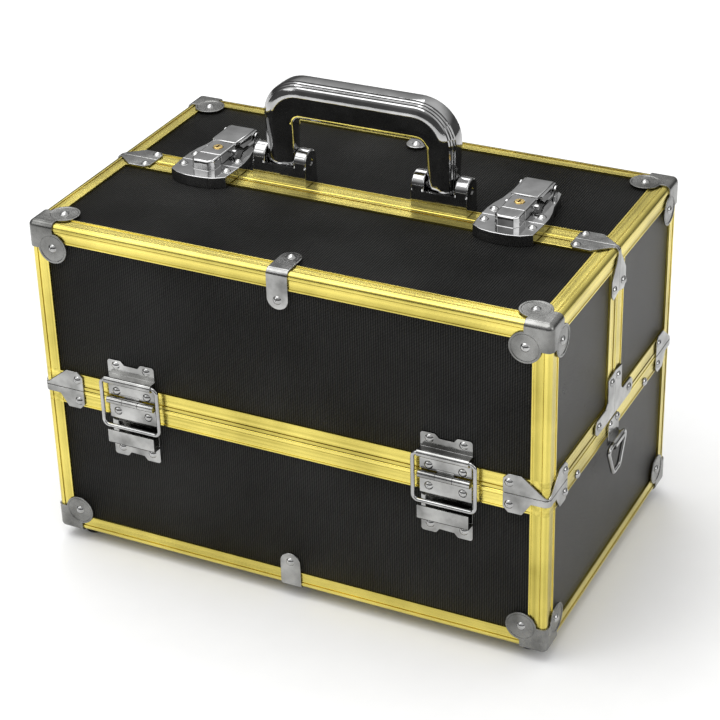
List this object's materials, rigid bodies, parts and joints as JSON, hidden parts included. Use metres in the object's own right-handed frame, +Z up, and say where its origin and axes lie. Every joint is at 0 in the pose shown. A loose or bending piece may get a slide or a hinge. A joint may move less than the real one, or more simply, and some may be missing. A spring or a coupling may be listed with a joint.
{
  "type": "makeup train case",
  "caption": "Metal-framed makeup train case whose two top halves fold out on hinges and swing stepped trays with them, with a folding handle, latches and strap rings.",
  "frame": {"origin": "on the ground, under the middle of the case", "axes": "+X to the right along the case, +Y to the rear, +Z up"},
  "size_m": [0.3728, 0.2372, 0.317],
  "materials": {
    "frame_gold": "gold anodised, satin",
    "panel_black": "black sheet with a fine woven emboss, on board",
    "fitting_nickel": "nickel plated pressed steel",
    "rivet_steel": "plated, polished domes",
    "wire_steel": "plated wire",
    "chrome_bright": "mirror",
    "lock_brass": "polished",
    "tray_plastic": "moulded, fine grain",
    "foot_rubber": "matt"
  },
  "bodies": {
    "base": {"base_bottom_profiles": "frame_gold", "base_corner_posts": "frame_gold", "base_rim_profiles": "frame_gold", "base_long_panels": "panel_black", "base_side_panels": "panel_black", "base_bottom_panel": "panel_black", "base_corner_caps": "fitting_nickel", "base_rim_corner_plates": "fitting_nickel", "base_edge_clips": "fitting_nickel", "base_rivets": "rivet_steel", "hinge_lower_leaves": "fitting_nickel", "hinge_pins": "rivet_steel", "arm_base_pivots": "rivet_steel", "strap_ring_plates": "fitting_nickel", "feet": "foot_rubber"},
    "front_lid": {"front_lid_front_panel": "panel_black", "front_lid_top_panel": "panel_black", "front_lid_side_panels": "panel_black", "front_lid_profiles": "frame_gold", "front_lid_corner_caps": "fitting_nickel", "front_lid_corner_plates": "fitting_nickel", "front_lid_split_plates": "fitting_nickel", "front_lid_edge_clip": "fitting_nickel", "front_lid_hinge_leaves": "fitting_nickel", "front_lid_rivets": "rivet_steel", "latch_keepers": "chrome_bright"},
    "rear_lid": {"rear_lid_rear_panel": "panel_black", "rear_lid_top_panel": "panel_black", "rear_lid_side_panels": "panel_black", "rear_lid_profiles": "frame_gold", "rear_lid_corner_caps": "fitting_nickel", "rear_lid_corner_plates": "fitting_nickel", "rear_lid_split_plates": "fitting_nickel", "rear_lid_edge_clip": "fitting_nickel", "rear_lid_hinge_leaves": "fitting_nickel", "rear_lid_rivets": "rivet_steel", "latch_base_plates": "chrome_bright", "handle_brackets": "chrome_bright", "handle_pins": "rivet_steel"},
    "handle": {"handle": "chrome_bright"},
    "front_stays": {"front_stay_loops": "wire_steel"},
    "rear_stays": {"rear_stay_loops": "wire_steel"},
    "strap_ring_left": {"strap_ring_left": "wire_steel"},
    "strap_ring_right": {"strap_ring_right": "wire_steel"},
    "front_inner_arms": {"front_inner_arms": "fitting_nickel"},
    "front_outer_arms": {"front_outer_arms": "fitting_nickel"},
    "front_tray_low": {"front_tray_low": "tray_plastic"},
    "front_tray_middle": {"front_tray_middle": "tray_plastic"},
    "front_tray_top": {"front_tray_top": "tray_plastic"},
    "rear_inner_arms": {"rear_inner_arms": "fitting_nickel"},
    "rear_outer_arms": {"rear_outer_arms": "fitting_nickel"},
    "rear_tray_low": {"rear_tray_low": "tray_plastic"},
    "rear_tray_middle": {"rear_tray_middle": "tray_plastic"},
    "rear_tray_top": {"rear_tray_top": "tray_plastic"},
    "latch_hook_left": {"latch_hook_left": "chrome_bright"},
    "latch_lever_left": {"latch_lever_left": "chrome_bright"},
    "lock_cylinder_left": {"lock_cylinder_left": "lock_brass"},
    "latch_hook_right": {"latch_hook_right": "chrome_bright"},
    "latch_lever_right": {"latch_lever_right": "chrome_bright"},
    "lock_cylinder_right": {"lock_cylinder_right": "lock_brass"}
  },
  "joints": [
    {"name": "front_lid_open", "type": "hinge", "parent": "base", "child": "front_lid", "pos_m": [0, -0.115, 0.1237], "axis": [1, 0, 0], "range_deg": [0, 93]},
    {"name": "front_stay_swing", "type": "hinge", "parent": "front_lid", "child": "front_stays", "pos_m": [0, -0.116, 0.1395], "axis": [1, 0, 0], "range_deg": [-80, 0]},
    {"name": "front_inner_arm_swing", "type": "hinge", "parent": "base", "child": "front_inner_arms", "pos_m": [0, -0.0625, 0.1138], "axis": [1, 0, 0], "range_deg": [0, 60.5]},
    {"name": "front_outer_arm_swing", "type": "hinge", "parent": "base", "child": "front_outer_arms", "pos_m": [0, -0.0865, 0.1138], "axis": [1, 0, 0], "range_deg": [0, 60.5]},
    {"name": "front_tray_low_level", "type": "hinge", "parent": "front_inner_arms", "child": "front_tray_low", "pos_m": [0, -0.04662, 0.1413], "axis": [1, 0, 0], "range_deg": [-60.5, 0]},
    {"name": "front_tray_middle_level", "type": "hinge", "parent": "front_inner_arms", "child": "front_tray_middle", "pos_m": [0, -0.03075, 0.1688], "axis": [1, 0, 0], "range_deg": [-60.5, 0]},
    {"name": "front_tray_top_level", "type": "hinge", "parent": "front_inner_arms", "child": "front_tray_top", "pos_m": [0, -0.01487, 0.1963], "axis": [1, 0, 0], "range_deg": [-60.5, 0]},
    {"name": "rear_lid_open", "type": "hinge", "parent": "base", "child": "rear_lid", "pos_m": [0, 0.115, 0.1237], "axis": [-1, 0, 0], "range_deg": [0, 93]},
    {"name": "rear_stay_swing", "type": "hinge", "parent": "rear_lid", "child": "rear_stays", "pos_m": [0, 0.116, 0.1395], "axis": [-1, 0, 0], "range_deg": [-80, 0]},
    {"name": "rear_inner_arm_swing", "type": "hinge", "parent": "base", "child": "rear_inner_arms", "pos_m": [0, 0.0625, 0.1138], "axis": [-1, 0, 0], "range_deg": [0, 60.5]},
    {"name": "rear_outer_arm_swing", "type": "hinge", "parent": "base", "child": "rear_outer_arms", "pos_m": [0, 0.0865, 0.1138], "axis": [-1, 0, 0], "range_deg": [0, 60.5]},
    {"name": "rear_tray_low_level", "type": "hinge", "parent": "rear_inner_arms", "child": "rear_tray_low", "pos_m": [0, 0.04662, 0.1413], "axis": [-1, 0, 0], "range_deg": [-60.5, 0]},
    {"name": "rear_tray_middle_level", "type": "hinge", "parent": "rear_inner_arms", "child": "rear_tray_middle", "pos_m": [0, 0.03075, 0.1688], "axis": [-1, 0, 0], "range_deg": [-60.5, 0]},
    {"name": "rear_tray_top_level", "type": "hinge", "parent": "rear_inner_arms", "child": "rear_tray_top", "pos_m": [0, 0.01487, 0.1963], "axis": [-1, 0, 0], "range_deg": [-60.5, 0]},
    {"name": "handle_fold", "type": "hinge", "parent": "rear_lid", "child": "handle", "pos_m": [0, 0.0095, 0.2585], "axis": [-1, 0, 0], "range_deg": [0, 90]},
    {"name": "latch_lever_left_lift", "type": "hinge", "parent": "rear_lid", "child": "latch_lever_left", "pos_m": [-0.109, 0.0436, 0.2527], "axis": [-1, 0, 0], "range_deg": [0, 90]},
    {"name": "latch_hook_left_draw", "type": "slide", "parent": "rear_lid", "child": "latch_hook_left", "axis": [0, 1, 0], "range_m": [0, 0.003]},
    {"name": "lock_left_turn", "type": "hinge", "parent": "latch_hook_left", "child": "lock_cylinder_left", "pos_m": [-0.109, 0.0115, 0.254], "axis": [0, 0, -1], "range_deg": [0, 90]},
    {"name": "strap_ring_left_swing", "type": "hinge", "parent": "base", "child": "strap_ring_left", "pos_m": [-0.1835, 0, 0.1045], "axis": [0, 1, 0], "range_deg": [0, 150]},
    {"name": "latch_lever_right_lift", "type": "hinge", "parent": "rear_lid", "child": "latch_lever_right", "pos_m": [0.109, 0.0436, 0.2527], "axis": [-1, 0, 0], "range_deg": [0, 90]},
    {"name": "latch_hook_right_draw", "type": "slide", "parent": "rear_lid", "child": "latch_hook_right", "axis": [0, 1, 0], "range_m": [0, 0.003]},
    {"name": "lock_right_turn", "type": "hinge", "parent": "latch_hook_right", "child": "lock_cylinder_right", "pos_m": [0.109, 0.0115, 0.254], "axis": [0, 0, -1], "range_deg": [0, 90]},
    {"name": "strap_ring_right_swing", "type": "hinge", "parent": "base", "child": "strap_ring_right", "pos_m": [0.1835, 0, 0.1045], "axis": [0, -1, 0], "range_deg": [0, 150]}
  ],
  "couplings": [
    {"joint": "front_stay_swing", "follows": "front_lid_open", "ratio": -0.84946},
    {"joint": "front_inner_arm_swing", "follows": "front_lid_open", "ratio": 0.64516},
    {"joint": "front_outer_arm_swing", "follows": "front_lid_open", "ratio": 0.64516},
    {"joint": "front_tray_low_level", "follows": "front_lid_open", "ratio": -0.64516},
    {"joint": "front_tray_middle_level", "follows": "front_lid_open", "ratio": -0.64516},
    {"joint": "front_tray_top_level", "follows": "front_lid_open", "ratio": -0.64516},
    {"joint": "rear_stay_swing", "follows": "rear_lid_open", "ratio": -0.84946},
    {"joint": "rear_inner_arm_swing", "follows": "rear_lid_open", "ratio": 0.64516},
    {"joint": "rear_outer_arm_swing", "follows": "rear_lid_open", "ratio": 0.64516},
    {"joint": "rear_tray_low_level", "follows": "rear_lid_open", "ratio": -0.64516},
    {"joint": "rear_tray_middle_level", "follows": "rear_lid_open", "ratio": -0.64516},
    {"joint": "rear_tray_top_level", "follows": "rear_lid_open", "ratio": -0.64516},
    {"joint": "latch_hook_left_draw", "follows": "latch_lever_left_lift", "m_per_rad": 0.0019},
    {"joint": "latch_hook_right_draw", "follows": "latch_lever_right_lift", "m_per_rad": 0.0019}
  ]
}
